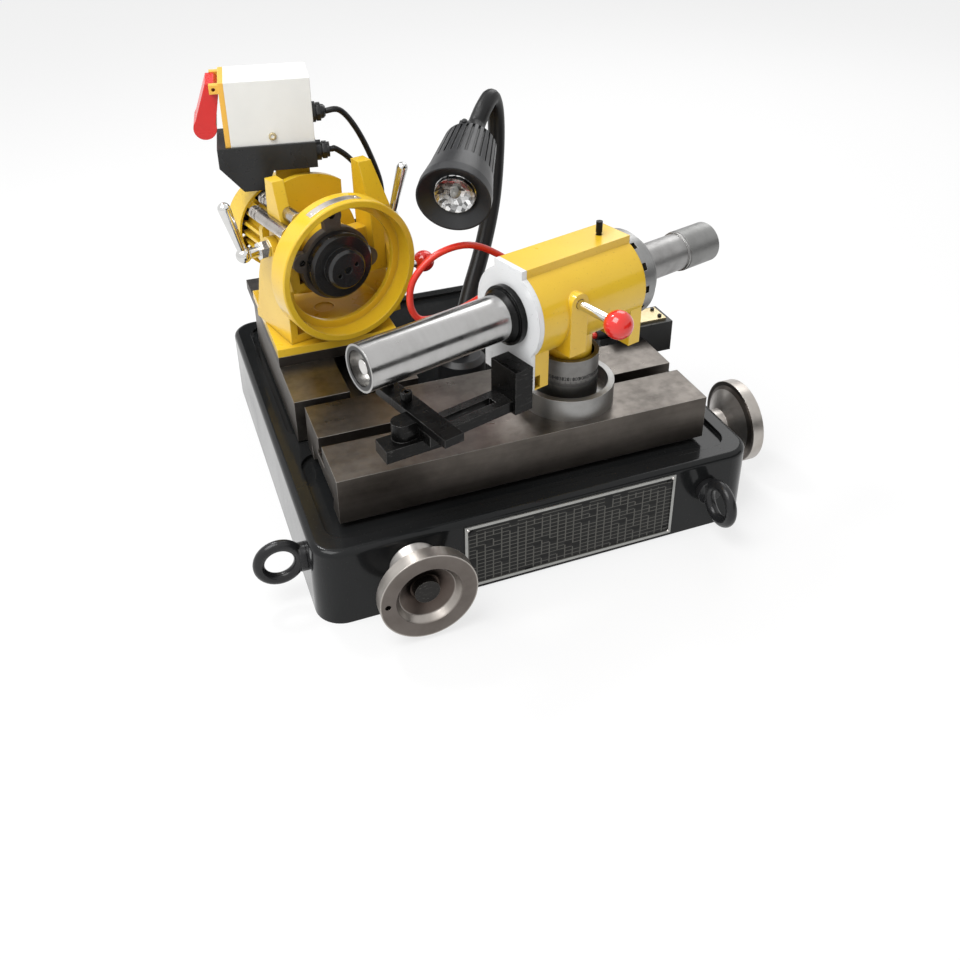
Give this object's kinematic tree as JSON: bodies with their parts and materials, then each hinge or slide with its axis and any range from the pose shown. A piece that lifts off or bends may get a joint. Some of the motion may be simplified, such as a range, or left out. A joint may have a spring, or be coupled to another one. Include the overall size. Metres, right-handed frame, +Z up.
{
  "type": "tool and cutter grinder",
  "caption": "Bench tool and cutter grinder with a T-slotted cross-slide table, an indexing work head, a tilting motor wheel head, handwheels and a gooseneck lamp.",
  "frame": {"origin": "centre of the underside of the base, on the bench", "axes": "+X to the right along the table, +Y from the operator to the rear, +Z up"},
  "size_m": [0.608, 0.62, 0.454],
  "materials": {
    "base_casting": "gloss black enamel",
    "spec_plate": "etched plate with a dark grid",
    "eye_bolts": "black",
    "lamp_base": "black",
    "gooseneck": "black",
    "lamp_head": "black",
    "lamp_reflector": "bright",
    "lamp_lens": "clear",
    "screw_bushes": "satin",
    "table_block": "ground",
    "table_nut": "satin",
    "swivel_base": "satin",
    "air_valve": "black",
    "valve_cover": "satin",
    "air_hose": "red",
    "table_handwheel": "satin",
    "table_screw": "oiled",
    "cross_slide_block": "ground",
    "cross_nut": "satin",
    "riser_plate": "dark ground",
    "wheelhead_foot": "yellow enamel",
    "cross_handwheel": "satin",
    "cross_screw": "oiled",
    "workhead_housing": "yellow enamel",
    "front_plate": "white",
    "swivel_drum": "graduated",
    "wiper_collar": "black",
    "hose_fitting": "bright",
    "rest_bracket": "blackened",
    "index_pin": "blackened",
    "quill_tube": "polished",
    "spindle_core": "polished",
    "index_plate": "satin",
    "rear_sleeve": "satin",
    "end_cap": "satin",
    "lock_lever": "polished",
    "lock_ball": "red",
    "rest_arm": "blackened",
    "rest_plate": "blackened",
    "rest_finger": "blackened",
    "rest_screws": "blackened",
    "yoke": "yellow enamel",
    "head_casting": "yellow enamel",
    "motor_body": "yellow enamel",
    "fan_cover": "yellow enamel",
    "bearing_cap": "dark",
    "guard_ring": "yellow enamel",
    "guard_rods": "polished",
    "terminal_box": "black",
    "switch_box": "pale grey",
    "switch_plate": "yellow",
    "switch_leads": "black",
    "motor_shaft": "ground",
    "wheel_hub": "gloss black",
    "cooling_fan": "black",
    "left_clamp_lever": "polished",
    "right_clamp_lever": "polished",
    "stop_paddle": "red",
    "swivel_lever": "polished",
    "swivel_lever_ball": "red"
  },
  "bodies": {
    "base": {"base_casting": "base_casting", "spec_plate": "spec_plate", "eye_bolts": "eye_bolts", "lamp_base": "lamp_base", "gooseneck": "gooseneck", "lamp_head": "lamp_head", "lamp_reflector": "lamp_reflector", "lamp_lens": "lamp_lens", "screw_bushes": "screw_bushes"},
    "table": {"table_block": "table_block", "table_nut": "table_nut", "swivel_base": "swivel_base", "air_valve": "air_valve", "valve_cover": "valve_cover", "air_hose": "air_hose"},
    "table_wheel": {"table_handwheel": "table_handwheel", "table_screw": "table_screw"},
    "cross_slide": {"cross_slide_block": "cross_slide_block", "cross_nut": "cross_nut", "riser_plate": "riser_plate", "wheelhead_foot": "wheelhead_foot"},
    "cross_wheel": {"cross_handwheel": "cross_handwheel", "cross_screw": "cross_screw"},
    "work_head": {"workhead_housing": "workhead_housing", "front_plate": "front_plate", "swivel_drum": "swivel_drum", "wiper_collar": "wiper_collar", "hose_fitting": "hose_fitting", "rest_bracket": "rest_bracket"},
    "index_pin": {"index_pin": "index_pin"},
    "quill": {"quill_tube": "quill_tube"},
    "work_spindle": {"spindle_core": "spindle_core", "index_plate": "index_plate", "rear_sleeve": "rear_sleeve", "end_cap": "end_cap"},
    "quill_lock": {"lock_lever": "lock_lever", "lock_ball": "lock_ball"},
    "rest_arm": {"rest_arm": "rest_arm"},
    "rest_plate": {"rest_plate": "rest_plate", "rest_finger": "rest_finger", "rest_screws": "rest_screws"},
    "yoke": {"yoke": "yoke"},
    "wheel_head": {"head_casting": "head_casting", "motor_body": "motor_body", "fan_cover": "fan_cover", "bearing_cap": "bearing_cap", "guard_ring": "guard_ring", "guard_rods": "guard_rods", "terminal_box": "terminal_box", "switch_box": "switch_box", "switch_plate": "switch_plate", "switch_leads": "switch_leads"},
    "wheel_spindle": {"motor_shaft": "motor_shaft", "wheel_hub": "wheel_hub", "cooling_fan": "cooling_fan"},
    "left_clamp": {"left_clamp_lever": "left_clamp_lever"},
    "right_clamp": {"right_clamp_lever": "right_clamp_lever"},
    "stop_paddle": {"stop_paddle": "stop_paddle"},
    "swivel_lock": {"swivel_lever": "swivel_lever", "swivel_lever_ball": "swivel_lever_ball"}
  },
  "joints": [
    {"name": "table_slide", "type": "slide", "parent": "base", "child": "table", "axis": [1, 0, 0], "range_m": [-0.06, 0.06]},
    {"name": "table_wheel_turn", "type": "hinge", "parent": "base", "child": "table_wheel", "pos_m": [0.25, -0.155, 0.056], "axis": [1, 0, 0], "range_deg": [-4330, 4330]},
    {"name": "cross_slide_travel", "type": "slide", "parent": "base", "child": "cross_slide", "axis": [0, 1, 0], "range_m": [-0.01, 0.05]},
    {"name": "cross_wheel_turn", "type": "hinge", "parent": "base", "child": "cross_wheel", "pos_m": [-0.151, -0.256, 0.056], "axis": [0, 1, 0], "range_deg": [-3610, 730]},
    {"name": "work_head_swivel", "type": "hinge", "parent": "table", "child": "work_head", "pos_m": [0.063, -0.155, 0.146], "axis": [0, 0, 1], "range_deg": [-20, 50], "deforming": ["air_hose"]},
    {"name": "quill_slide", "type": "slide", "parent": "work_head", "child": "quill", "axis": [0.9598, 0.2807, 0], "range_m": [0, 0.1]},
    {"name": "work_spindle_turn", "type": "hinge", "parent": "quill", "child": "work_spindle", "pos_m": [0.063, -0.155, 0.277], "axis": [0.9598, 0.2807, 0], "continuous": true},
    {"name": "index_pin_lift", "type": "slide", "parent": "work_head", "child": "index_pin", "axis": [0, 0, 1], "range_m": [0, 0.008]},
    {"name": "quill_lock_turn", "type": "hinge", "parent": "work_head", "child": "quill_lock", "pos_m": [0.044, -0.21473, 0.293], "axis": [0.2807, -0.9598, 0], "range_deg": [-90, 90]},
    {"name": "rest_arm_slide", "type": "slide", "parent": "work_head", "child": "rest_arm", "axis": [-0.9598, -0.2807, 0], "range_m": [0, 0.012]},
    {"name": "rest_plate_slide", "type": "slide", "parent": "rest_arm", "child": "rest_plate", "axis": [-0.2807, 0.9598, 0], "range_m": [-0.012, 0.012]},
    {"name": "yoke_swivel", "type": "hinge", "parent": "cross_slide", "child": "yoke", "pos_m": [-0.151, 0.092, 0.169], "axis": [0, 0, 1], "range_deg": [-30, 20]},
    {"name": "wheel_head_tilt", "type": "hinge", "parent": "yoke", "child": "wheel_head", "pos_m": [-0.14893, 0.08427, 0.278], "axis": [-0.9659, -0.2588, 0], "range_deg": [0, 10]},
    {"name": "wheel_spindle_turn", "type": "hinge", "parent": "wheel_head", "child": "wheel_spindle", "pos_m": [-0.151, 0.092, 0.256], "axis": [0.2588, -0.9659, 0], "continuous": true},
    {"name": "left_clamp_turn", "type": "hinge", "parent": "yoke", "child": "left_clamp", "pos_m": [-0.21413, 0.0668, 0.278], "axis": [0.9659, 0.2588, 0], "range_deg": [-20, 90]},
    {"name": "right_clamp_turn", "type": "hinge", "parent": "yoke", "child": "right_clamp", "pos_m": [-0.07021, 0.10537, 0.278], "axis": [0.9659, 0.2588, 0], "range_deg": [-20, 80]},
    {"name": "stop_paddle_lift", "type": "hinge", "parent": "wheel_head", "child": "stop_paddle", "pos_m": [-0.23844, 0.16936, 0.447], "axis": [0.1392, 0.9903, 0], "range_deg": [0, 80]},
    {"name": "swivel_lock_turn", "type": "hinge", "parent": "yoke", "child": "swivel_lock", "pos_m": [-0.06296, 0.07832, 0.22], "axis": [0.9659, 0.2588, 0], "range_deg": [-90, 90]}
  ],
  "couplings": [
    {"joint": "table_wheel_turn", "follows": "table_slide", "rad_per_m": -1256.6},
    {"joint": "cross_wheel_turn", "follows": "cross_slide_travel", "rad_per_m": -1256.6}
  ]
}
